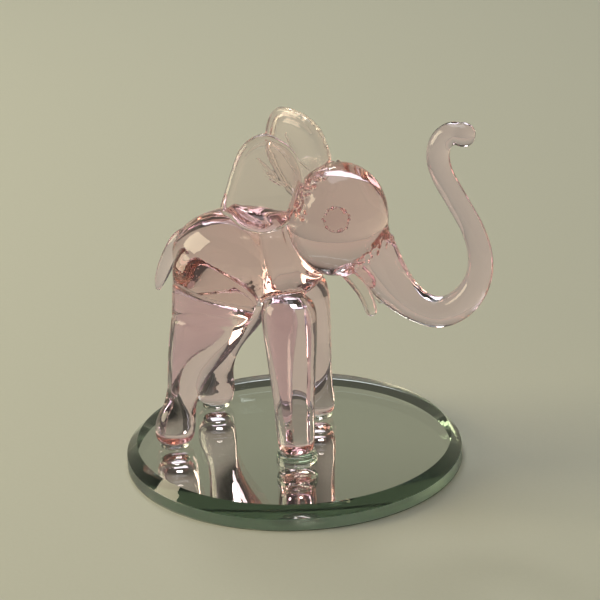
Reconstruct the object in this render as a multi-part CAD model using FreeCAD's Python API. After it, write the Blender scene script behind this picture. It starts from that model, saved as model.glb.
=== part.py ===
import FreeCAD, Part
import math
import os

# A lampworked glass elephant, trunk raised, standing on a round bevelled mirror.
# Millimetres, +Z up, +X the way the elephant faces, so its right side is towards -Y.
# Origin: the centre of the mirror's underside, on the surface that it stands on.

Vector = FreeCAD.Vector
Y_AXIS = Vector(0, 1, 0)
Z_AXIS = Vector(0, 0, 1)

# Mirror: a 76 mm round cut from 5 mm float glass, bevelled, silvered and painted underneath
mirror_diameter = 76.0
mirror_thickness = 5.0
wall_height = 2.7            # upright edge left below the bevel
bevel_width = 2.4
paint_thickness = 0.10
silver_thickness = 0.05

# Where the elephant stands: it was set down by hand, a little off the mirror's centre
middle_y = -1.1              # its plane of symmetry
feet = {
    "front_right": (5.4, -13.2),
    "front_left": (1.8, 11.6),
    "hind_right": (-23.9, -12.8),
    "hind_left": (-23.2, 10.6),
}

# Clear glue under each foot: radius and height. One foot needed a thick pad to stop the rocking.
thick_pad = (4.55, 2.6)
thin_pad = (3.2, 0.9)
pads = {
    "front_right": thick_pad,
    "front_left": thin_pad,
    "hind_right": thin_pad,
    "hind_left": thin_pad,
}

# Torso and head: gathers of hot glass, each turned about its long axis
torso_centre = Vector(-8.8, middle_y, 47.5)
torso_half_length = 17.8
torso_radius = 11.05
head_centre = Vector(12.1, middle_y, 57.9)
head_half_height = 12.6
head_radius = 10.9
head_tilt = 11.0             # degrees, crown forward

# Legs: where they run into the torso, and their section at heights above the sole
hind_hip = (-13.6, 7.6)      # x, and distance from the middle plane
front_shoulders = {"front_right": (2.8, 7.4), "front_left": (0.2, 7.4)}
hip_height = 42.0
hind_seam = 35.4             # below its seam a leg is its own piece, above it part of the torso
front_seam = 38.5
hind_profile = [             # height, share of the way forward to the hip, half length, half width
    (0.0, 0.00, 2.9, 2.7),
    (0.9, 0.00, 4.1, 3.8),
    (3.2, 0.01, 4.6, 4.2),
    (5.6, 0.04, 4.4, 4.0),
    (8.6, 0.12, 3.8, 3.5),
    (12.2, 0.22, 3.9, 3.4),
    (16.2, 0.35, 5.0, 4.0),
    (20.6, 0.54, 6.8, 4.8),
    (25.0, 0.72, 8.3, 5.3),
    (30.1, 0.87, 9.3, 5.2),
    (34.1, 0.93, 9.8, 5.05),
    (38.1, 0.94, 9.8, 4.95),
    (41.1, 0.85, 8.8, 4.5),
    (44.1, 0.74, 6.0, 2.9),
    (45.4, 0.70, 3.2, 1.5),
]
front_profile = [            # share of the leg's length, half length, half width
    (0.00, 3.1, 3.0),
    (0.03, 3.9, 3.8),
    (0.12, 4.25, 4.1),
    (0.30, 4.5, 4.3),
    (0.52, 5.2, 4.8),
    (0.74, 5.9, 5.3),
    (0.88, 6.1, 5.2),
    (0.96, 5.5, 4.4),
    (1.01, 3.4, 2.4),
]

# Trunk: its centre line in the middle plane from the face to the tip, with its radius
trunk_line = [               # x, z, radius
    (15.4, 56.0, 7.4),
    (18.9, 51.3, 6.2),
    (22.6, 46.1, 5.0),
    (26.4, 41.9, 4.1),
    (30.4, 39.4, 3.55),
    (34.4, 38.6, 3.4),
    (38.2, 40.1, 3.25),
    (41.4, 43.3, 3.1),
    (43.4, 47.6, 2.85),
    (43.7, 52.4, 2.65),
    (42.0, 58.2, 2.45),
    (38.6, 64.2, 2.4),
    (35.6, 69.4, 2.45),
    (34.5, 73.6, 2.5),
    (35.3, 77.0, 2.45),
    (37.6, 78.9, 2.4),
]
trunk_tip = Vector(40.0, middle_y, 78.7)
trunk_tip_radius = 2.65      # of the bead that the end melted into
trunk_end_radius = 2.1       # of the rod, inside the bead

# Ears: thin pressed petals, dished, each swung out at the back from the side of the head
ear_thickness = 1.5
ears = {
    "ear_right": {
        "foot": Vector(3.0, -6.0, 62.0),   # on the head
        "swing": 30.0,                     # degrees
        "dish_radius": 26.0,
        "dish_middle": (-5.0, 5.0),        # along the ear and up, from its foot, as in the outline
        "dish_depth": 1.8,
        "outline": [                       # along the ear towards the head, and up, from its foot
            (-15.0, 0.2),
            (-13.4, 4.6),
            (-12.1, 8.3),
            (-10.4, 12.6),
            (-8.0, 15.1),
            (-4.8, 16.1),
            (-1.6, 14.4),
            (0.8, 12.2),
            (2.6, 8.8),
            (3.4, 4.4),
            (3.2, -0.4),
            (1.6, -2.6),
            (-1.2, -4.6),
            (-4.4, -5.7),
            (-7.6, -5.6),
            (-10.8, -4.1),
            (-13.4, -1.6),
        ],
    },
    "ear_left": {
        "foot": Vector(3.4, 5.6, 62.3),
        "swing": 27.0,
        "dish_radius": 40.0,
        "dish_middle": (-4.0, 14.0),
        "dish_depth": 2.4,
        "outline": [
            (-14.6, 7.4),
            (-12.7, 12.9),
            (-10.0, 16.0),
            (-7.0, 16.9),
            (-4.0, 16.8),
            (-1.4, 16.2),
            (1.2, 15.1),
            (3.2, 13.4),
            (4.6, 10.8),
            (5.4, 7.2),
            (4.6, 2.6),
            (2.6, -1.6),
            (-1.2, -4.4),
            (-5.6, -5.0),
            (-10.0, -3.4),
            (-13.4, 1.2),
        ],
    },
}

# Tusks, eyes and tail
tusk_offset = 3.9            # from the middle plane
tusk_line = [                # x, z, radius
    (13.6, 49.6, 1.7),
    (16.6, 46.4, 1.6),
    (18.8, 43.6, 1.5),
    (20.0, 41.0, 1.4),
    (20.5, 39.2, 1.3),
    (20.7, 38.3, 0.95),
    (20.8, 37.9, 0.4),
]
eye_place = Vector(15.1, -11.0, 61.8)
eye_ball_radius = 4.2
eye_proud = 0.7
tail_line = [                # x, z, half width, half thickness
    (-22.5, 52.0, 1.5, 1.3),
    (-25.2, 50.2, 1.7, 1.3),
    (-27.3, 47.0, 1.8, 1.25),
    (-29.2, 43.0, 1.7, 1.15),
    (-30.6, 39.6, 1.2, 1.0),
    (-31.2, 37.6, 0.55, 0.5),
]


def main_solid(shape):
    """The largest solid of a cut, without the slivers that a cut can leave."""
    return max(shape.Solids, key=lambda solid: solid.Volume)


def disc_of(radius, bottom, top):
    return Part.makeCylinder(radius, top - bottom, Vector(0, 0, bottom))


def gather(centre, half_length, radius, tilt):
    """An egg of glass turned about its long axis, which is Z before it is tilted about Y."""
    origin = Vector(0, 0, 0)
    if half_length > radius:
        ellipse = Part.Ellipse(Vector(0, 0, half_length), Vector(radius, 0, 0), origin)
    else:
        ellipse = Part.Ellipse(origin, radius, half_length)
    arc = Part.ArcOfEllipse(ellipse, 0, math.pi)
    axis = Part.LineSegment(arc.EndPoint, arc.StartPoint)
    profile = Part.Face(Part.Wire([arc.toShape(), axis.toShape()]))
    egg = profile.revolve(origin, Z_AXIS, 360)
    egg.rotate(origin, Y_AXIS, tilt)
    egg.translate(centre)
    return egg


def above(height):
    """A block that holds everything above the given height."""
    size = 2 * mirror_diameter
    return Part.makeBox(size, size, size, Vector(-size / 2, -size / 2, height))


def level_ellipse(centre, half_x, half_y):
    """A closed level section, longer along X than along Y."""
    rim = Part.Ellipse(centre, half_x, half_y)
    return Part.Wire(rim.toShape())


def directions(points):
    """The direction of the line through each point's neighbours."""
    last = len(points) - 1
    result = []
    for index in range(len(points)):
        before = points[max(index - 1, 0)]
        after = points[min(index + 1, last)]
        result.append((after - before).normalize())
    return result


def drawn_rod(stations, y):
    """A round rod drawn out in the plane at y. Each station is x, z, radius."""
    centres = [Vector(x, y, z) for x, z, radius in stations]
    rings = []
    for centre, ahead, station in zip(centres, directions(centres), stations):
        rings.append(Part.Wire(Part.Circle(centre, ahead, station[2]).toShape()))
    return Part.makeLoft(rings, True, False)


# Mirror base

def mirror_glass():
    radius = mirror_diameter / 2
    bottom = paint_thickness + silver_thickness
    outline = [
        (0, bottom),
        (radius, bottom),
        (radius, wall_height),
        (radius - bevel_width, mirror_thickness),
        (0, mirror_thickness),
        (0, bottom),
    ]
    profile = Part.makePolygon([Vector(x, 0, z) for x, z in outline])
    return Part.Face(profile).revolve(Vector(0, 0, 0), Z_AXIS, 360)


def mirror_silvering():
    return disc_of(mirror_diameter / 2, paint_thickness, paint_thickness + silver_thickness)


def mirror_backing_paint():
    return disc_of(mirror_diameter / 2, 0, paint_thickness)


def glue_pad(corner):
    radius, height = pads[corner]
    pad = disc_of(radius, mirror_thickness, mirror_thickness + height)
    pad.translate(Vector(feet[corner][0], feet[corner][1], 0))
    return pad


# Elephant

def hind_leg(corner):
    """A leg that runs up and forward from its foot, and swells into the thigh."""
    foot_x, foot_y = feet[corner]
    side = math.copysign(1, foot_y)
    hip_x, hip_offset = hind_hip
    hip_y = middle_y + side * hip_offset
    sole = mirror_thickness + pads[corner][1]
    rings = []
    for height, forward, half_length, half_width in hind_profile:
        inward = height / (hip_height - sole)
        x = foot_x + (hip_x - foot_x) * forward
        y = foot_y + (hip_y - foot_y) * inward
        rings.append(level_ellipse(Vector(x, y, sole + height), half_length, half_width))
    return Part.makeLoft(rings, True, False)


def front_leg(corner):
    """A straight column, a little thicker towards the shoulder."""
    foot_x, foot_y = feet[corner]
    side = math.copysign(1, foot_y)
    shoulder_x, shoulder_offset = front_shoulders[corner]
    shoulder_y = middle_y + side * shoulder_offset
    sole = mirror_thickness + pads[corner][1]
    rings = []
    for share, half_length, half_width in front_profile:
        x = foot_x + (shoulder_x - foot_x) * share
        y = foot_y + (shoulder_y - foot_y) * share
        z = sole + (hip_height - sole) * share
        rings.append(level_ellipse(Vector(x, y, z), half_length, half_width))
    return Part.makeLoft(rings, True, False)


def trunk():
    """A tapering rod in a wide S, closed by the bead that the end melted into."""
    end = trunk_line + [(trunk_tip.x, trunk_tip.z, trunk_end_radius)]
    rod = drawn_rod(end, middle_y)
    return rod.fuse(Part.makeSphere(trunk_tip_radius, trunk_tip))


def ear(look):
    """A petal cut from a spherical shell, hollow side outwards."""
    foot = look["foot"]
    side = math.copysign(1, foot.y)
    turn = math.radians(look["swing"])
    along = Vector(math.cos(turn), -side * math.sin(turn), 0)
    outward = Vector(math.sin(turn), side * math.cos(turn), 0)
    points = [foot + along * u + Z_AXIS * v for u, v in look["outline"]]
    rim = Part.BSplineCurve()
    rim.interpolate(Points=points, PeriodicFlag=True)
    radius = look["dish_radius"]
    half_depth = radius / 2
    face = Part.Face(Part.Wire(rim.toShape()))
    face.translate(outward * -half_depth)
    petal = face.extrude(outward * (2 * half_depth))
    middle_u, middle_v = look["dish_middle"]
    middle = foot + along * middle_u + Z_AXIS * middle_v
    dish_centre = middle + outward * (radius - look["dish_depth"])
    outer = Part.makeSphere(radius + ear_thickness / 2, dish_centre)
    inner = Part.makeSphere(radius - ear_thickness / 2, dish_centre)
    return petal.common(outer.cut(inner))


def tusk(side):
    """A short clear rod, bent down, with a rounded end."""
    return drawn_rod(tusk_line, middle_y + side * tusk_offset)


def eye(side):
    """A dot of clear glass, melted onto the side of the head as a low dome."""
    place = Vector(eye_place.x, middle_y + side * (middle_y - eye_place.y), eye_place.z)
    outward = (place - head_centre).normalize()
    centre = place + outward * (eye_proud - eye_ball_radius)
    return Part.makeSphere(eye_ball_radius, centre)


def tail():
    """A flattened leaf of clear glass that hangs from the rump."""
    centres = [Vector(x, middle_y, z) for x, z, half_width, half_thickness in tail_line]
    rings = []
    for centre, ahead, station in zip(centres, directions(centres), tail_line):
        across = ahead.cross(Y_AXIS)
        rim = Part.Ellipse(Vector(0, 0, 0), station[2], station[3])
        ring = Part.Wire(rim.toShape())
        ring.Placement = FreeCAD.Placement(centre, FreeCAD.Rotation(across, Y_AXIS, ahead, "ZXY"))
        rings.append(ring)
    return Part.makeLoft(rings, True, False)


def build():
    """Every piece by name. A piece is cut where it was melted onto the one before it."""
    head = gather(head_centre, head_half_height, head_radius, head_tilt)
    torso = gather(torso_centre, torso_half_length, torso_radius, 90)
    legs = {}
    for corner in feet:
        is_hind = corner.startswith("hind")
        whole = hind_leg(corner) if is_hind else front_leg(corner)
        upper = above(hind_seam if is_hind else front_seam)
        torso = torso.fuse(whole.common(upper))
        legs["leg_" + corner] = main_solid(whole.cut(upper))
    torso = main_solid(torso.cut(head))
    trunk_piece = main_solid(trunk().cut(head))
    parts = {
        "mirror_glass": mirror_glass(),
        "mirror_silvering": mirror_silvering(),
        "mirror_backing_paint": mirror_backing_paint(),
        "torso": torso,
        "head": head,
        "trunk": trunk_piece,
    }
    for corner in feet:
        parts["glue_pad_" + corner] = glue_pad(corner)
    for name, leg in legs.items():
        parts[name] = main_solid(leg.cut(torso))
    for name, look in ears.items():
        parts[name] = main_solid(ear(look).cut(head).cut(torso))
    for word, side in (("right", -1), ("left", 1)):
        parts["tusk_" + word] = main_solid(tusk(side).cut(head).cut(trunk_piece))
        parts["eye_" + word] = main_solid(eye(side).cut(head))
    parts["tail"] = main_solid(tail().cut(torso))
    return parts


os.makedirs("parts", exist_ok=True)
for part_name, part_shape in build().items():
    part_shape.exportStep("parts/" + part_name + ".step")
    box = part_shape.BoundBox
    print(part_name, len(part_shape.Solids), part_shape.isValid(), round(part_shape.Volume, 1),
          [round(v, 1) for v in (box.XMin, box.XMax, box.YMin, box.YMax, box.ZMin, box.ZMax)])
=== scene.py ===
import math
import random

import bmesh
import bpy
from mathutils import Matrix, Vector
from mathutils.bvhtree import BVHTree
from mathutils.kdtree import KDTree
from mathutils.noise import noise


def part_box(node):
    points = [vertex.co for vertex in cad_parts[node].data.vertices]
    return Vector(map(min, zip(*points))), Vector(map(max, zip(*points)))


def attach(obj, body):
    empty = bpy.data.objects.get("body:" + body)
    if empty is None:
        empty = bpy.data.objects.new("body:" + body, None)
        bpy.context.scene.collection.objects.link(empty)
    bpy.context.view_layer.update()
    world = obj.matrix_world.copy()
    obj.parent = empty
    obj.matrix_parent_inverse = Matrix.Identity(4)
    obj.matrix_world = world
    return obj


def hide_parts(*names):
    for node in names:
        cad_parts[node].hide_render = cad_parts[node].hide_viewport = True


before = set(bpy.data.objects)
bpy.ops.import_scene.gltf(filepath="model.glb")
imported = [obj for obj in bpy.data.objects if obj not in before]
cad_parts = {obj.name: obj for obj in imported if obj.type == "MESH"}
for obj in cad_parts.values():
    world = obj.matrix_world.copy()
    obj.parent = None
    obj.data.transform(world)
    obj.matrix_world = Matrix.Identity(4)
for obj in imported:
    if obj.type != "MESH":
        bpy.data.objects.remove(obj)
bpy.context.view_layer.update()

# A lampworked elephant of pale smoky-pink glass, trunk raised, glued to a round bevelled mirror.
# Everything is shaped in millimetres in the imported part's frame and made metres when it is finished.
mm = 0.001
xAxis, yAxis, zAxis = Vector((1, 0, 0)), Vector((0, 1, 0)), Vector((0, 0, 1))
contact = 0.02  # pieces that touch run this far into each other, so no film of air shows between them
farOut = 10  # far enough outside the head to look back at its skin from


def nodeBox(name):
    low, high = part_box(name)
    return low / mm, high / mm


# Shaping


def inBetween(a, b, c, d, t):
    # one value of a smooth line through b and c, whose neighbours are a and d: t runs from 0 at b to 1 at c
    return b + 0.5 * t * (c - a + t * (2 * a - 5 * b + 4 * c - d + t * (3 * (b - c) + d - a)))


def smoothLine(stations, steps):
    # a smooth run through stations of any number of values
    last = len(stations) - 1
    line = []
    for i in range(last):
        four = [stations[max(0, min(last, i + k))] for k in (-1, 0, 1, 2)]
        for step in range(steps):
            line.append([inBetween(*values, step / steps) for values in zip(*four)])
    line.append(list(stations[-1]))
    return line


def smoothLoop(points, count):
    # the same, closed, as this many points
    loop = []
    for k in range(count):
        place = k * len(points) / count
        i = int(place)
        four = [points[(i + n) % len(points)] for n in (-1, 0, 1, 2)]
        loop.append([inBetween(*values, place - i) for values in zip(*four)])
    return loop


def ringMatrix(centre, across, over, ahead, halfAcross, halfOver):
    # takes a circle of radius 1 to an oval round the centre
    turn = Matrix((across, over, ahead)).transposed().to_4x4()
    return Matrix.Translation(centre) @ turn @ Matrix.Diagonal((halfAcross, halfOver, 1, 1))


def tube(count, segments):
    # rings of radius 1 stacked one above the other, closed at both ends
    bm = bmesh.new()
    verts = [bm.verts.new((1, 0, k)) for k in range(count)]
    edges = [bm.edges.new(pair) for pair in zip(verts, verts[1:])]
    bmesh.ops.spin(bm, geom=verts + edges, axis=(0, 0, 1), angle=2 * math.pi, steps=segments, use_merge=True)
    bmesh.ops.edgeloop_fill(bm, edges=[edge for edge in bm.edges if edge.is_boundary])
    return bm


def drawnOut(rings, segments):
    # a solid pulled along its rings
    bm = tube(len(rings), segments)
    for vert in bm.verts:
        vert.co = rings[round(vert.co.z)] @ Vector((vert.co.x, vert.co.y, 0))
    return bm


def drawnRod(look, y):
    # a rod drawn out in the plane at y along x and z, with a radius, or a half width and a half thickness
    line = smoothLine(look["line"], look["steps"])
    centres = [Vector((station[0], y, station[1])) for station in line]
    last = len(centres) - 1
    rings = []
    for i, (centre, station) in enumerate(zip(centres, line)):
        ahead = (centres[min(i + 1, last)] - centres[max(i - 1, 0)]).normalized()
        rings.append(ringMatrix(centre, ahead.cross(yAxis), -yAxis, ahead, station[2], station[-1]))
    return drawnOut(rings, look["segments"])


def gatherMatrix(centre, halfAxes, tilt):
    return (Matrix.Translation(centre) @ Matrix.Rotation(math.radians(tilt), 4, "Y")
            @ Matrix.Diagonal((*halfAxes, 1)))


def gather(centre, halfAxes, tilt=0.0, fineness=7):
    # an egg of glass, leaning forward by its tilt
    bm = bmesh.new()
    shape = gatherMatrix(centre, halfAxes, tilt)
    bmesh.ops.create_icosphere(bm, subdivisions=fineness, radius=1, matrix=shape)
    return bm


def turned(outline, segments):
    # outline: radius and height, from the axis out and back to the axis
    bm = bmesh.new()
    verts = [bm.verts.new((radius, 0, height)) for radius, height in outline]
    edges = [bm.edges.new(pair) for pair in zip(verts, verts[1:])]
    bmesh.ops.spin(bm, geom=verts + edges, axis=(0, 0, 1), angle=2 * math.pi, steps=segments, use_merge=True)
    bmesh.ops.remove_doubles(bm, verts=bm.verts, dist=0.0005)
    return bm


def together(shapes):
    whole = bmesh.new()
    for shape in shapes:
        mesh = bpy.data.meshes.new("shape")
        shape.to_mesh(mesh)
        shape.free()
        whole.from_mesh(mesh)
        bpy.data.meshes.remove(mesh)
    return whole


def bubbles(places, seed, smallest, largest):
    # air caught in the glass: little hollows, so their faces point inwards, none of them quite round
    chance = random.Random(seed)
    shapes = []
    for place in places:
        size = chance.uniform(smallest, largest)
        halfAxes = (size, size * chance.uniform(0.6, 1.0), size * chance.uniform(0.7, 1.4))
        shapes.append(gather(place, halfAxes, chance.uniform(0, 90), fineness=3))
    hollows = together(shapes)
    hollows.normal_update()
    bmesh.ops.recalc_face_normals(hollows, faces=hollows.faces)
    bmesh.ops.reverse_faces(hollows, faces=hollows.faces)
    return hollows


def toMesh(bm, name, pointOut=True):
    if pointOut:
        bm.normal_update()
        bmesh.ops.recalc_face_normals(bm, faces=bm.faces)
    mesh = bpy.data.meshes.new(name)
    bm.to_mesh(mesh)
    bm.free()
    return mesh


def finishPiece(name, mesh, material, nodes, smooth=True):
    mesh.transform(Matrix.Scale(mm, 4))
    mesh.polygons.foreach_set("use_smooth", [smooth] * len(mesh.polygons))
    mesh.materials.clear()
    mesh.materials.append(material)
    piece = bpy.data.objects.new(name, mesh)
    bpy.context.scene.collection.objects.link(piece)
    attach(piece, "root")
    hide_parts(*nodes)
    print("made", name, "with", len(mesh.polygons), "faces")


# Materials


def toLinear(hexColour):
    shares = [int(hexColour[i:i + 2], 16) / 255 for i in (0, 2, 4)]
    return [s / 12.92 if s <= 0.04045 else ((s + 0.055) / 1.055) ** 2.4 for s in shares] + [1]


def addNode(tree, kind, values=None, links=None, **settings):
    node = tree.nodes.new("ShaderNode" + kind)
    for name, value in settings.items():
        setattr(node, name, value)
    for name, value in (values or {}).items():
        node.inputs[name].default_value = value
    for name, source in (links or {}).items():
        tree.links.new(source, node.inputs[name])
    return node


def newMaterial(name):
    material = bpy.data.materials.new(name)
    material.use_nodes = True
    material.node_tree.nodes.clear()
    return material, material.node_tree


def finishGlass(tree, shader, look):
    # the glass takes its colour from how far light goes through it
    tint = addNode(tree, "VolumeAbsorption",
                   {"Color": toLinear(look["depthTint"]), "Density": look["density"]})
    addNode(tree, "OutputMaterial", links={"Surface": shader.outputs[0], "Volume": tint.outputs[0]})


def glassMaterial(name, look):
    material, tree = newMaterial(name)
    place = addNode(tree, "TexCoord").outputs["Object"]
    ripple = addNode(tree, "TexNoise", {"Scale": 1 / (look["rippleSize"] * mm), "Detail": 1.0},
                     {"Vector": place})
    bump = addNode(tree, "Bump", {"Strength": 1.0, "Distance": look["rippleDepth"] * mm},
                   {"Height": ripple.outputs[0]})
    shader = addNode(tree, "BsdfPrincipled", {
        "Base Color": toLinear(look["skin"]),
        "Roughness": 0.0,
        "IOR": look["ior"],
        "Transmission Weight": 1.0,
    }, {"Normal": bump.outputs[0]})
    finishGlass(tree, shader, look)
    return material


# Pink soda-lime glass gathered and drawn in a flame: the skin froze as a liquid, so it is perfectly glossy
# with slow ripples, and its colour comes from depth, nearly clear where thin and rosy brown where thick
smokyPinkGlass = glassMaterial("smokyPinkGlass", {
    "skin": "fff1fe", "ior": 1.5, "depthTint": "eb8951", "density": 12.0,
    "rippleSize": 4.0, "rippleDepth": 0.006})
# The same glass pressed to a petal between warm pads: so thin that only its rim and veins show colour
palePetalGlass = glassMaterial("palePetalGlass", {
    "skin": "fdf3f5", "ior": 1.5, "depthTint": "eb8951", "density": 12.0,
    "rippleSize": 2.5, "rippleDepth": 0.006})
# The same glass in thin rods and dots, worked cooler: small wrinkles in its skin, which glint
clearRodGlass = glassMaterial("clearRodGlass", {
    "skin": "fff8f8", "ior": 1.5, "depthTint": "eb8951", "density": 12.0,
    "rippleSize": 0.7, "rippleDepth": 0.02})
# Clear acrylic glue squeezed out under a foot and cured: glossy, a little uneven, faintly green
clearGlue = glassMaterial("clearGlue", {
    "skin": "fdfffd", "ior": 1.49, "depthTint": "e0f0e8", "density": 6.0,
    "rippleSize": 1.5, "rippleDepth": 0.01})


def bevelledFloatGlass():
    # soda-lime float glass with a little iron: green along its edge. Face and bevel are polished clear, and
    # the upright edge is ground, so it is cloudy
    look = {"depthTint": "6ca888", "density": 20.0, "ior": 1.52, "groundRoughness": 0.35, "groundFrom": 0.1,
            "groundTo": 0.02}
    material, tree = newMaterial("bevelledFloatGlass")
    place = addNode(tree, "TexCoord").outputs["Object"]
    level = addNode(tree, "VectorMath", {1: (1, 1, 0)}, {0: place}, operation="MULTIPLY")
    reach = addNode(tree, "VectorMath", links={0: level.outputs[0]}, operation="LENGTH")
    onEdge = addNode(tree, "MapRange", {
        "From Min": (mirrorRadius - look["groundFrom"]) * mm,
        "From Max": (mirrorRadius - look["groundTo"]) * mm,
        "To Max": look["groundRoughness"],
    }, {"Value": reach.outputs["Value"]})
    shader = addNode(tree, "BsdfPrincipled", {"Base Color": toLinear("ffffff"), "IOR": look["ior"],
                                              "Transmission Weight": 1.0}, {"Roughness": onEdge.outputs[0]})
    finishGlass(tree, shader, look)
    return material


def opaqueMaterial(name, look):
    # one noise drives both how glossy the grain is and how high it stands
    material, tree = newMaterial(name)
    place = addNode(tree, "TexCoord").outputs["Object"]
    grain = addNode(tree, "TexNoise", {"Scale": 1 / (look["grainSize"] * mm), "Detail": 3.0},
                    {"Vector": place})
    low, high = look["roughness"]
    rough = addNode(tree, "MapRange", {"From Min": 0.3, "From Max": 0.7, "To Min": low, "To Max": high},
                    {"Value": grain.outputs[0]})
    bump = addNode(tree, "Bump", {"Distance": look["grainDepth"] * mm}, {"Height": grain.outputs[0]})
    shader = addNode(tree, "BsdfPrincipled",
                     {"Base Color": toLinear(look["colour"]), "Metallic": look["metallic"]},
                     {"Roughness": rough.outputs[0], "Normal": bump.outputs[0]})
    addNode(tree, "OutputMaterial", links={"Surface": shader.outputs[0]})
    return material


# Mirror

glassHigh = nodeBox("mirror_glass")[1]
mirrorTop, mirrorRadius = glassHigh.z, glassHigh.x
mirror = {
    "wallHeight": 2.7, "bevelWidth": 2.4, "arris": 0.08, "silverInset": 0.02, "segments": 256,
    # silver deposited on the glass from a bath: a clean mirror, with only the faintest waves
    "silver": {"colour": "f6f6f4", "metallic": 1.0, "roughness": (0.0, 0.015), "grainSize": 5.0,
               "grainDepth": 0.0005},
    # backing paint, rolled on: dull grey with a fine orange peel
    "paint": {"colour": "5a6058", "metallic": 0.0, "roughness": (0.4, 0.6), "grainSize": 0.6,
              "grainDepth": 0.02},
}


def makeMirrorGlass():
    wallHeight, arris = mirror["wallHeight"], mirror["arris"]
    bottom = nodeBox("mirror_silvering")[1].z - contact / 2
    outline = [(0, bottom), (mirrorRadius, bottom), (mirrorRadius, wallHeight - arris),
               (mirrorRadius - arris, wallHeight + arris), (mirrorRadius - mirror["bevelWidth"], mirrorTop),
               (0, mirrorTop)]
    mesh = toMesh(turned(outline, mirror["segments"]), "mirrorGlass")
    finishPiece("mirrorGlass", mesh, bevelledFloatGlass(), ["mirror_glass"], smooth=False)


def makeMirrorCoat(name, look, node, inset=0.0):
    low, high = [corner.z for corner in nodeBox(node)]
    radius = mirrorRadius - inset
    disc = turned([(0, low), (radius, low), (radius, high), (0, high)], mirror["segments"])
    finishPiece(name, toMesh(disc, name), opaqueMaterial(name, look), [node], smooth=False)


makeMirrorGlass()
makeMirrorCoat("mirrorSilver", mirror["silver"], "mirror_silvering", mirror["silverInset"])
makeMirrorCoat("mirrorPaint", mirror["paint"], "mirror_backing_paint")

# Elephant: the gathers, legs and trunk that the flame melted into one piece of glass

middleY = -1.1
headCentre = Vector((12.1, middleY, 57.9))
feet = {
    "front_right": {"at": (5.4, -13.2), "glueRadius": 4.55, "glueHeight": 2.6},
    "front_left": {"at": (1.8, 11.6), "glueRadius": 3.2, "glueHeight": 0.9},
    "hind_right": {"at": (-23.9, -12.8), "glueRadius": 3.2, "glueHeight": 0.9},
    "hind_left": {"at": (-23.2, 10.6), "glueRadius": 3.2, "glueHeight": 0.9},
}
body = {
    "torso": {"centre": (-8.8, middleY, 47.5), "half": (11.05, 11.05, 17.8), "tilt": 90},
    "head": {"centre": headCentre, "half": (10.9, 10.9, 12.6), "tilt": 11},
    "haunchLeft": {"centre": (-14.6, middleY + 5.5, 43.5), "half": (11.0, 6.0, 9.5), "tilt": 0},
    "trunkBead": {"centre": (40.0, middleY, 78.7), "half": (2.65, 2.65, 2.65), "tilt": 0},
}
legs = {
    "hipHeight": 42.0,
    # x, and distance from the middle plane, where each leg runs into the body
    "top": {"front_right": (2.8, 7.4), "front_left": (0.2, 7.4), "hind_right": (-13.6, 7.6),
            "hind_left": (-13.6, 7.6)},
    # height above the sole, share of the way forward to the hip, half length, half width
    "hindShin": [(0.0, 0.00, 2.9, 2.7), (0.9, 0.00, 4.1, 3.8), (3.2, 0.01, 4.6, 4.2), (5.6, 0.04, 4.4, 4.0),
                 (8.6, 0.12, 3.8, 3.5), (12.2, 0.22, 3.9, 3.4), (16.2, 0.35, 5.0, 4.0),
                 (20.6, 0.54, 6.8, 4.8)],
    "thigh": {
        "hind_right": [(25.0, 0.72, 8.3, 5.3), (30.1, 0.87, 9.3, 5.2), (34.1, 0.93, 9.8, 5.05),
                       (38.1, 0.94, 9.8, 4.95), (41.1, 0.85, 8.8, 4.5), (44.1, 0.74, 6.0, 2.9),
                       (45.4, 0.70, 3.2, 1.5)],
        "hind_left": [(25.0, 0.72, 8.2, 5.5), (30.0, 0.88, 9.0, 5.9), (33.5, 0.94, 8.7, 5.4),
                      (36.5, 0.98, 5.5, 3.2)],
    },
    # share of the leg's length, half length, half width
    "front": [(0.00, 3.1, 3.0), (0.03, 3.9, 3.8), (0.12, 4.25, 4.1), (0.30, 4.5, 4.3), (0.52, 5.2, 4.8),
              (0.74, 5.9, 5.3), (0.88, 6.1, 5.2), (0.96, 5.5, 4.4), (1.01, 3.4, 2.4)],
    "steps": 7, "segments": 112,
}
trunk = {
    # x, z, radius
    "line": [(15.4, 56.0, 7.4), (18.9, 51.3, 6.2), (22.6, 46.1, 5.0), (26.4, 41.9, 4.1), (30.4, 39.4, 3.55),
             (34.4, 38.6, 3.4), (38.2, 40.1, 3.25), (41.4, 43.3, 3.1), (43.4, 47.6, 2.85), (43.7, 52.4, 2.65),
             (42.0, 58.2, 2.45), (38.6, 64.2, 2.4), (35.6, 69.4, 2.45), (34.5, 73.6, 2.5), (35.3, 77.0, 2.45),
             (37.6, 78.9, 2.4), (40.0, 78.7, 2.1)],
    "steps": 8, "segments": 88,
}
melt = {"voxel": 0.385, "passes": 8}
eyes = {
    "x": 15.1, "offset": 9.9, "z": 61.2, "radius": 2.75, "rise": 0.16,
    "steps": 12, "segments": 64, "cap": 0.3,  # the cap is the first ring, as a share of a step
    # the ring of small bubbles caught under each eye
    "bubbles": 17, "spacing": 0.3, "reach": (0.86, 1.04), "depth": (0.4, 0.6), "size": (0.18, 0.42),
    "placeSeed": 11, "shapeSeed": 5,
}
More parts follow.
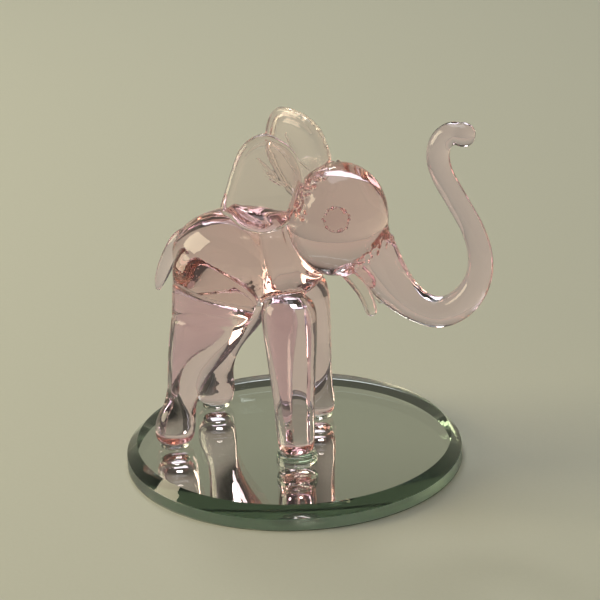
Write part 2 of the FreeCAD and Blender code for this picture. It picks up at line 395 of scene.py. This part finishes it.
welds = {
    # where the back of the head was pinched onto the ear: x, distance from the middle plane, z
    "behindEar": [(9.6, 4.5, 68.8), (8.2, 5.3, 67.6), (7.0, 6.3, 65.8), (6.5, 7.3, 64.1), (6.3, 8.1, 62.5),
                  (7.2, 9.3, 61.2)],
    "behindEarLook": {"above": 55, "width": 2.5, "lump": 0.9, "rise": 0.2, "depth": 1.1},
    # the ring where the trunk was joined onto the head
    "face": {"centre": (18.9, middleY, 51.1), "ahead": (0.58, 0, -0.81), "radius": 6.2, "points": 16},
    "faceLook": {"above": 40, "width": 1.6, "lump": 1.2, "rise": -0.3, "depth": 0.9},
    # the groove where the head meets the torso
    "neck": {"width": 0.9, "depth": 0.55},
    # the thin ring left where each hind leg was joined on
    "hindSeam": {"before": -4.5, "height": 35.4, "wave": 1.2, "waveLength": 6.0, "width": 0.45,
                 "depth": 0.28},
}


def legShape(corner):
    footX, footY = feet[corner]["at"]
    topX, topOffset = legs["top"][corner]
    topY = middleY + math.copysign(topOffset, footY)
    sole = mirrorTop + feet[corner]["glueHeight"]
    rise = legs["hipHeight"] - sole
    if corner in legs["thigh"]:
        stations = legs["hindShin"] + legs["thigh"][corner]
    else:
        stations = [(share * rise, share, halfLong, halfWide) for share, halfLong, halfWide in legs["front"]]
    rings = []
    for height, forward, halfLong, halfWide in smoothLine(stations, legs["steps"]):
        centre = Vector((footX + (topX - footX) * forward, footY + (topY - footY) * height / rise,
                         sole + height))
        rings.append(ringMatrix(centre, xAxis, yAxis, zAxis, halfLong, halfWide))
    return drawnOut(rings, legs["segments"])


def melted(bm):
    # the shapes run together in the flame: one skin, with small rounded creases where they meet
    mesh = toMesh(bm, "rough")
    rough = bpy.data.objects.new("rough", mesh)
    bpy.context.scene.collection.objects.link(rough)
    remesh = rough.modifiers.new("melt", "REMESH")
    remesh.mode, remesh.voxel_size = "VOXEL", melt["voxel"]
    soften = rough.modifiers.new("soften", "SMOOTH")
    soften.iterations = melt["passes"]
    skin = bpy.data.meshes.new_from_object(rough.evaluated_get(bpy.context.evaluated_depsgraph_get()))
    bpy.data.objects.remove(rough)
    bpy.data.meshes.remove(mesh)
    return skin


def press(mesh, height):
    # every point moves along its normal by the height at that place
    moves = [(vert, vert.normal * height(vert.co)) for vert in mesh.vertices]
    for vert, move in moves:
        vert.co += move


def crinkle(mesh, path, look):
    # a weld pinched while soft: lumps in a band along the path, fading out to the band's width
    line = smoothLine(path, 8)
    tree = KDTree(len(line))
    for i, point in enumerate(line):
        tree.insert(point, i)
    tree.balance()

    def height(place):
        near = tree.find(place)[2]
        if place.z < look["above"] or near > look["width"]:
            return 0
        lump = noise(place / look["lump"]) + 0.5 * noise(place / (look["lump"] * 0.5))  # and half-size lumps
        return (1 - (near / look["width"]) ** 2) * (look["rise"] + look["depth"] * lump)

    press(mesh, height)


def pressSeam(mesh, look):
    # a level groove that wanders a little, round everything behind a place along the body

    def height(place):
        wave = look["wave"] * noise(Vector((place.x, place.y, 0)) / look["waveLength"])
        away = (place.z - look["height"] - wave) / look["width"]
        return -look["depth"] * math.exp(-away * away) if place.x < look["before"] else 0

    press(mesh, height)


def pressCrease(mesh, first, second, look):
    # a groove where two gathers meet
    toShapes = [gatherMatrix(shape["centre"], shape["half"], shape["tilt"]).inverted()
                for shape in (first, second)]
    reach = min(min(first["half"]), min(second["half"]))

    def height(place):
        away = [((toShape @ place).length - 1) * reach / look["width"] for toShape in toShapes]
        return -look["depth"] * math.exp(-away[0] ** 2 - away[1] ** 2)

    press(mesh, height)


def ringRound(look):
    centre = Vector(look["centre"])
    across = Vector(look["ahead"]).cross(yAxis)
    turns = [2 * math.pi * k / look["points"] for k in range(look["points"] + 1)]
    return [centre + (across * math.cos(turn) + yAxis * math.sin(turn)) * look["radius"] for turn in turns]


def eyeDirection(side):
    place = Vector((eyes["x"], middleY + side * eyes["offset"], eyes["z"]))
    return place, (place - headCentre).normalized()


def eyeBubbles(tree, side):
    place, outward = eyeDirection(side)
    turn = outward.to_track_quat("Z", "Y").to_matrix()
    chance = random.Random(eyes["placeSeed"] + side)
    places = []
    for k in range(eyes["bubbles"]):
        angle = 2 * math.pi * (k + chance.uniform(-eyes["spacing"], eyes["spacing"])) / eyes["bubbles"]
        reach = eyes["radius"] * chance.uniform(*eyes["reach"])
        outside = place + turn @ Vector((math.cos(angle) * reach, math.sin(angle) * reach, farOut))
        places.append(tree.ray_cast(outside, -outward)[0] - outward * chance.uniform(*eyes["depth"]))
    return places


def makeSkin():
    shapes = [gather(Vector(g["centre"]), g["half"], g["tilt"]) for g in body.values()]
    shapes += [legShape(corner) for corner in feet]
    shapes.append(drawnRod(trunk, middleY))
    mesh = melted(together(shapes))
    for side in (-1, 1):
        behindEar = [(x, middleY + side * away, z) for x, away, z in welds["behindEar"]]
        crinkle(mesh, behindEar, welds["behindEarLook"])
    crinkle(mesh, ringRound(welds["face"]), welds["faceLook"])
    pressCrease(mesh, body["torso"], body["head"], welds["neck"])
    pressSeam(mesh, welds["hindSeam"])
    tree = BVHTree.FromPolygons([v.co[:] for v in mesh.vertices], [p.vertices[:] for p in mesh.polygons])
    whole = bmesh.new()
    whole.from_mesh(mesh)
    hollows = bubbles(eyeBubbles(tree, -1) + eyeBubbles(tree, 1), eyes["shapeSeed"], *eyes["size"])
    skin = toMesh(together([whole, hollows]), "elephantSkin", pointOut=False)
    bpy.data.meshes.remove(mesh)
    finishPiece("elephantSkin", skin, smokyPinkGlass,
                ["torso", "head", "trunk"] + ["leg_" + corner for corner in feet])
    return tree


skinTree = makeSkin()

# Eyes: a low dot of clear glass on each side of the head


def makeEye(word, side):
    place, outward = eyeDirection(side)
    turn = outward.to_track_quat("Z", "Y").to_matrix()
    steps, cap = eyes["steps"], eyes["cap"]
    reaches = [eyes["radius"] * (k + cap) / (steps + cap) for k in range(steps + 1)]
    domeToBase = [(reach, True) for reach in reaches] + [(reach, False) for reach in reversed(reaches)]
    bm = tube(len(domeToBase), eyes["segments"])
    for vert in bm.verts:
        reach, isDome = domeToBase[round(vert.co.z)]
        level = turn @ Vector((vert.co.x * reach, vert.co.y * reach, 0))
        seat = skinTree.ray_cast(place + level + outward * farOut, -outward)[0]
        height = eyes["rise"] * (1 - (reach / eyes["radius"]) ** 2) ** 0.7 if isDome else -contact
        vert.co = seat + outward * height
    name = "eye" + word.title()
    finishPiece(name, toMesh(bm, name), clearRodGlass, ["eye_" + word])


for word, side in (("right", -1), ("left", 1)):
    makeEye(word, side)

# Ears: thin petals, pressed and dished while hot, with a thick rolled rim

ears = {
    # the outline and the dish's middle: along the ear towards the head, and up, from its foot on the head
    "ear_right": {
        "foot": (3.0, -6.0, 62.0), "swing": 30.0, "dish": 26.0, "middle": (-5.0, 5.0), "sag": 1.8,
        "outline": [(-15.0, 0.2), (-13.4, 4.6), (-12.1, 8.3), (-10.4, 12.6), (-8.0, 15.1), (-4.8, 16.1),
                    (-1.6, 14.4), (0.8, 12.2), (2.6, 8.8), (3.4, 4.4), (3.2, -0.4), (1.6, -2.6), (-1.2, -4.6),
                    (-4.4, -5.7), (-7.6, -5.6), (-10.8, -4.1), (-13.4, -1.6)],
        "crimp": 0.0,
    },
    "ear_left": {
        "foot": (3.4, 5.6, 62.3), "swing": 27.0, "dish": 40.0, "middle": (-4.0, 13.0), "sag": 0.3,
        "outline": [(-14.6, 7.4), (-12.7, 12.9), (-10.0, 16.0), (-7.0, 16.9), (-4.0, 16.8), (-1.4, 16.2),
                    (1.2, 15.1), (3.2, 13.4), (4.6, 10.8), (5.4, 7.2), (4.6, 2.6), (2.6, -1.6), (-1.2, -4.4),
                    (-5.6, -5.0), (-10.0, -3.4), (-13.4, 1.2)],
        "crimp": 0.2,
    },
}
petal = {
    "segments": 220, "steps": 7, "waist": (-5.0, 5.0),
    # share of the way from the waist out to the rim, half thickness
    "profile": [(0.02, 0.60), (0.15, 0.60), (0.3, 0.60), (0.45, 0.60), (0.6, 0.62), (0.72, 0.66), (0.82, 0.8),
                (0.89, 0.98), (0.94, 1.0), (0.975, 0.8), (0.993, 0.45)],
    # pressed veins: they fan out from the root of the ear, and are deepest at their far ends
    "root": (0.9, 2.4),
    "veins": [(-6.7, 10.5), (-6.1, 9.6), (-5.6, 8.7), (-5.3, 7.7), (-4.8, 6.7), (-4.0, 5.9), (-3.0, 5.2),
              (-2.0, 4.5)],
    "veinWidth": 0.25, "veinDepth": 0.52, "veinsFrom": 0.5,
    # the crimped rim: small lumps from a share of the way out, on the upper edge only
    "crimpFrom": 0.8, "crimpSize": 0.8, "crimpBias": 0.4, "crimpAbove": 12, "crimpOver": 0.6,
}


def veinDepth(point):
    depth = 0
    fromRoot = point - Vector(petal["root"])
    for end in petal["veins"]:
        run = Vector(end) - Vector(petal["root"])
        share = max(0, min(1, fromRoot.dot(run) / run.length_squared))
        away = (fromRoot - run * share).length / petal["veinWidth"]
        fadeIn = max(0, share - petal["veinsFrom"]) / (1 - petal["veinsFrom"])
        depth = max(depth, petal["veinDepth"] * math.exp(-away * away) * fadeIn)
    return depth


def crimpHeight(height, share, point, place):
    # how high the crimped lumps stand here
    if point.x + point.y < petal["crimpAbove"]:
        return 0
    growth = max(0, share - petal["crimpFrom"]) / (1 - petal["crimpFrom"])
    return height * growth * (petal["crimpBias"] + noise(place / petal["crimpSize"]))


def makeEar(name, look):
    side = math.copysign(1, look["foot"][1])
    turn = math.radians(look["swing"])
    along = Vector((math.cos(turn), -side * math.sin(turn), 0))
    outward = Vector((math.sin(turn), side * math.cos(turn), 0))
    foot = Vector(look["foot"])
    middle = Vector(look["middle"])
    dishCentre = foot + along * middle.x + zAxis * middle.y + outward * (look["dish"] - look["sag"])
    waist = Vector(petal["waist"])
    rim = [Vector(point) for point in smoothLoop(look["outline"], petal["segments"])]
    profile = petal["profile"]
    # out along the hollow outer face, where the veins are, round the rim and in again along the inner face
    outerFace = [(share, -half) for share, half in profile]
    stations = smoothLine(outerFace + [(1.0, 0.0)] + profile[::-1], petal["steps"])
    bm = tube(len(stations), len(rim))
    for vert in bm.verts:
        share, lift = stations[round(vert.co.z)]
        spoke = round(math.atan2(vert.co.y, vert.co.x) / (2 * math.pi) * len(rim)) % len(rim)
        point = waist + (rim[spoke] - waist) * share
        flat = foot + along * point.x + zAxis * point.y
        across = flat - dishCentre
        across -= outward * across.dot(outward)
        onDish = dishCentre + across - outward * math.sqrt(look["dish"] ** 2 - across.length_squared)
        inward = (dishCentre - onDish).normalized()
        if lift < 0:
            lift += veinDepth(point)
        crimp = crimpHeight(look["crimp"], share, point, onDish)
        vert.co = onDish - inward * lift * (1 + crimp) + inward * crimp * petal["crimpOver"] + zAxis * crimp
    mesh = toMesh(bm, name + "Petal")
    finishPiece(name + "Petal", mesh, palePetalGlass, [name])


for earName, earLook in ears.items():
    makeEar(earName, earLook)

# Tusks and tail

tusks = {
    "offset": 3.9,
    # x, z, radius
    "line": [(13.6, 49.6, 1.8), (16.6, 46.4, 1.75), (18.8, 43.6, 1.65), (20.0, 41.0, 1.5), (20.5, 39.2, 1.35),
             (20.7, 38.3, 1.0), (20.8, 37.9, 0.4)],
    "steps": 6, "segments": 48,
}
tail = {
    # x, z, half width, half thickness
    "line": [(-22.5, 52.0, 1.5, 1.3), (-25.2, 50.2, 1.7, 1.3), (-27.3, 47.0, 1.8, 1.25),
             (-29.2, 43.0, 1.7, 1.15), (-30.6, 39.6, 1.2, 1.0), (-31.2, 37.6, 0.55, 0.5)],
    "steps": 6, "segments": 48,
}


def makeSmallRod(name, look, offset, material, node):
    mesh = toMesh(drawnRod(look, middleY + offset), name)
    finishPiece(name, mesh, material, [node])


for word, side in (("right", -1), ("left", 1)):
    makeSmallRod("tusk" + word.title(), tusks, side * tusks["offset"], clearRodGlass, "tusk_" + word)
makeSmallRod("tailLeaf", tail, 0, smokyPinkGlass, "tail")

# Glue under the feet

glue = {
    "segments": 96, "steps": 4,
    "soleInset": 0.1, "toeInset": 0.02, "toeHeight": 0.05, "topInset": 0.9,
    # how far inside the full radius the drop's side is, and the share of its height
    "side": [(0.0, 0.3), (0.06, 0.6), (0.3, 0.88)],
    # air stirred into a thick drop, at shares of its radius and its height
    "thick": 2, "bubbles": 14, "reach": (0.5, 0.86), "level": (0.4, 0.85), "size": (0.08, 0.2),
    "placeSeed": 3, "shapeSeed": 4,
}


def makeGlue(corner):
    radius, height = feet[corner]["glueRadius"], feet[corner]["glueHeight"]
    low, high = mirrorTop - contact, mirrorTop + height + contact
    side = [(radius - glue["toeInset"], mirrorTop + glue["toeHeight"])]
    side += [(radius - inset, mirrorTop + share * height) for inset, share in glue["side"]]
    side.append((radius - glue["topInset"], high))
    outline = [(0, low), (radius - glue["soleInset"], low)] + smoothLine(side, glue["steps"]) + [(0, high)]
    drop = turned(outline, glue["segments"])
    bmesh.ops.recalc_face_normals(drop, faces=drop.faces)
    shapes = [drop]
    if height > glue["thick"]:
        chance = random.Random(glue["placeSeed"])
        places = []
        for _ in range(glue["bubbles"]):
            angle, reach = chance.uniform(0, 2 * math.pi), radius * chance.uniform(*glue["reach"])
            level = mirrorTop + chance.uniform(*glue["level"]) * height
            places.append(Vector((math.cos(angle) * reach, math.sin(angle) * reach, level)))
        shapes.append(bubbles(places, glue["shapeSeed"], *glue["size"]))
    drop = together(shapes)
    bmesh.ops.translate(drop, vec=(*feet[corner]["at"], 0), verts=drop.verts)
    name = "glue_pad_" + corner
    finishPiece(name + "Drop", toMesh(drop, name, pointOut=False), clearGlue, [name])


for corner in feet:
    makeGlue(corner)

# Studio: a pale board, a backdrop that fades upwards, a softbox on the left and small lamps above

studio = {
    # matt painted board: an even pale grain, no gloss
    "board": {"colour": "d2d3c0", "metallic": 0.0, "roughness": (0.6, 0.8), "grainSize": 0.9,
              "grainDepth": 0.03},
    "boardHalf": 0.72,
    # the backdrop faces the camera and fades into the room at its sides
    "room": "5c5b54", "backdropToward": (-0.342, 0.94, 0), "backdropEdges": (0.0, 0.75),
    # sine of the elevation, colour
    "backdrop": [(0.0, "b7b29b"), (0.12, "acac96"), (0.30, "a3a58f"), (0.42, "9a9884"), (0.56, "34362f"),
                 (0.85, "34362f"), (1.0, "8a8c84")],
    "lamps": [  # name, azimuth, elevation, distance, width, height, radiance, colour
        ("keySoftbox", 195, 19, 0.9, 0.55, 0.56, 6.5, "fff0cc"),
        ("topPanel", 130, 75, 1.8, 1.15, 1.15, 2.45, "f6f8ff"),
        ("backPanel", 121, 41, 1.0, 0.20, 0.11, 14.0, "fffaf0"),
    ],
    "lampsAimAt": (0, 0, 0.045),
    "lens": 121.9, "sensor": 36, "clipStart": 0.01, "cameraAt": (145.92, -394.23, 198.1),
    "cameraAhead": (-0.3195, 0.87781, -0.3569), "cameraUp": (-0.09282, 0.34584, 0.93369),
    # light crosses many faces of glass before it gets out
    "glassBounces": 32, "mirrorBounces": 16,
}


def makeBoard():
    bm = bmesh.new()
    bmesh.ops.create_grid(bm, x_segments=1, y_segments=1, size=studio["boardHalf"])
    mesh = toMesh(bm, "board", pointOut=False)
    mesh.materials.append(opaqueMaterial("paleBoard", studio["board"]))
    board = bpy.data.objects.new("board", mesh)
    bpy.context.scene.collection.objects.link(board)


def makeWorld():
    world = bpy.data.worlds.new("studio")
    bpy.context.scene.world = world
    world.use_nodes = True
    tree = world.node_tree
    tree.nodes.clear()
    direction = addNode(tree, "TexCoord").outputs["Generated"]
    height = addNode(tree, "SeparateXYZ", links={"Vector": direction}).outputs["Z"]
    toward = addNode(tree, "VectorMath", {1: studio["backdropToward"]}, {0: direction},
                     operation="DOT_PRODUCT")
    low, high = studio["backdropEdges"]
    facing = addNode(tree, "MapRange", {"From Min": low, "From Max": high},
                     {"Value": toward.outputs["Value"]}, interpolation_type="SMOOTHSTEP")
    fade = addNode(tree, "ValToRGB", links={"Fac": height})
    stops = fade.color_ramp.elements
    stops.remove(stops[1])
    for place, colour in studio["backdrop"]:
        stop = stops[0] if place == 0 else stops.new(place)
        stop.color = toLinear(colour)
    blend = addNode(tree, "Mix", {6: toLinear(studio["room"])}, {0: facing.outputs[0], 7: fade.outputs[0]},
                    data_type="RGBA")
    light = addNode(tree, "Background", links={"Color": blend.outputs[2]})
    addNode(tree, "OutputWorld", links={"Surface": light.outputs[0]})


def makeLamp(name, azimuth, elevation, distance, width, height, radiance, colour):
    # a lamp's energy grows with its area, so that its face looks as bright as its radiance
    turn, rise = math.radians(azimuth), math.radians(elevation)
    toward = Vector((math.cos(turn) * math.cos(rise), math.sin(turn) * math.cos(rise), math.sin(rise)))
    lamp = bpy.data.lights.new(name, "AREA")
    lamp.shape = "RECTANGLE"
    lamp.size, lamp.size_y = width, height
    lamp.energy = radiance * math.pi * width * height
    lamp.color = toLinear(colour)[:3]
    holder = bpy.data.objects.new(name, lamp)
    holder.location = Vector(studio["lampsAimAt"]) + toward * distance
    holder.rotation_euler = toward.to_track_quat("Z", "Y").to_euler()
    bpy.context.scene.collection.objects.link(holder)


def makeCamera():
    camera = bpy.data.cameras.new("camera")
    camera.lens, camera.sensor_width = studio["lens"], studio["sensor"]
    camera.clip_start = studio["clipStart"]
    ahead = Vector(studio["cameraAhead"]).normalized()
    right = ahead.cross(Vector(studio["cameraUp"])).normalized()
    turn = Matrix((right, right.cross(ahead), -ahead)).transposed().to_4x4()
    holder = bpy.data.objects.new("camera", camera)
    holder.matrix_world = Matrix.Translation(Vector(studio["cameraAt"]) * mm) @ turn
    bpy.context.scene.collection.objects.link(holder)
    bpy.context.scene.camera = holder


makeBoard()
makeWorld()
for lampLook in studio["lamps"]:
    makeLamp(*lampLook)
makeCamera()
scene = bpy.context.scene
scene.view_settings.view_transform = "Standard"
scene.cycles.max_bounces = scene.cycles.transmission_bounces = studio["glassBounces"]
scene.cycles.glossy_bounces = scene.cycles.transparent_max_bounces = studio["mirrorBounces"]
print("studio ready")
